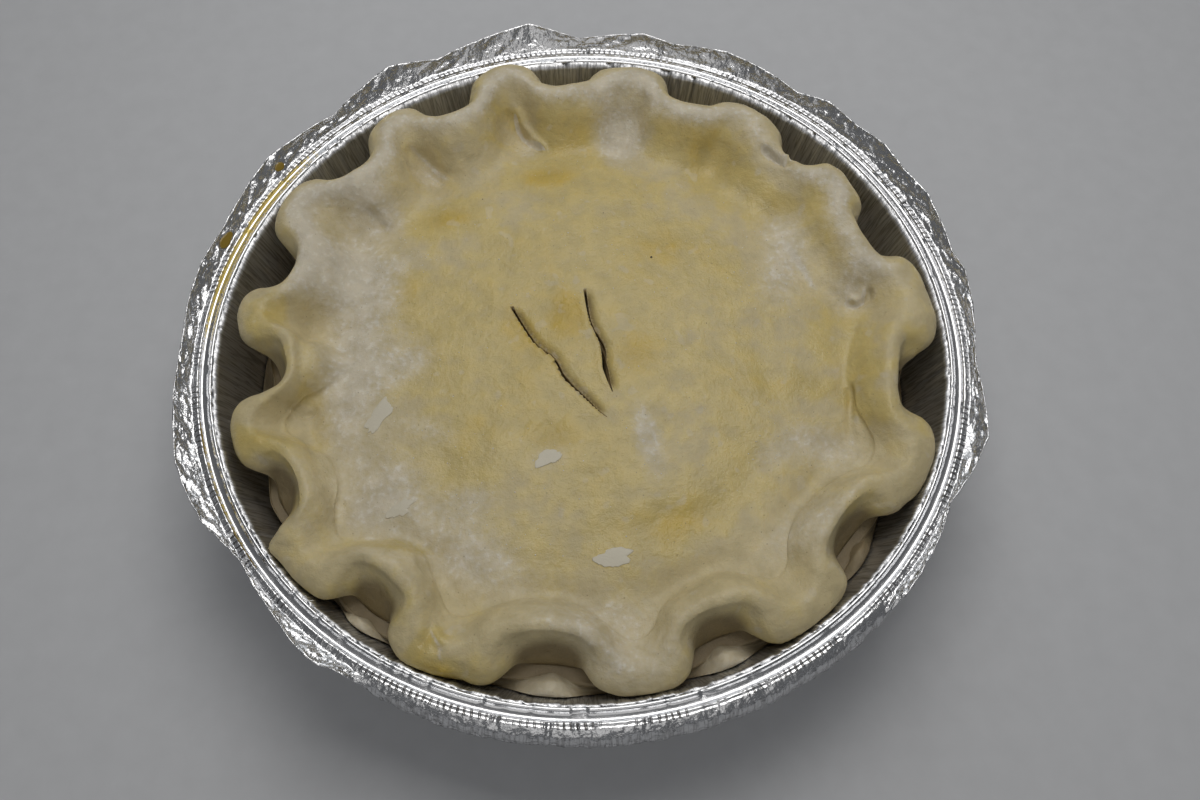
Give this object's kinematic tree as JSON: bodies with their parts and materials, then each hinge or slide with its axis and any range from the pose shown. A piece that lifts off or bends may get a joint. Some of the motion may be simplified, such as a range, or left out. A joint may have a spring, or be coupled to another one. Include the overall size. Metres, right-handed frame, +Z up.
{
  "type": "chicken pot pie",
  "caption": "Uncut raw pot pie with a deep hand-fluted rim and knife vents in its lid, filling a round pressed foil pan.",
  "frame": {"origin": "middle of the flat underside of the foil pan", "axes": "+Z up out of the pan; -Y towards the side where the lip is folded down and the flutes droop"},
  "size_m": [0.2315, 0.2333, 0.051],
  "materials": {
    "foil": "thin pressed foil, bright and finely crinkled",
    "top_dough": "pale raw pastry, satin where egg wash wets it, chalky where floured",
    "bottom_dough": "pale raw pastry, matt and lightly floured"
  },
  "bodies": {
    "root": {"foil_pan": "foil", "top_crust": "top_dough", "bottom_crust": "bottom_dough"}
  },
  "joints": []
}
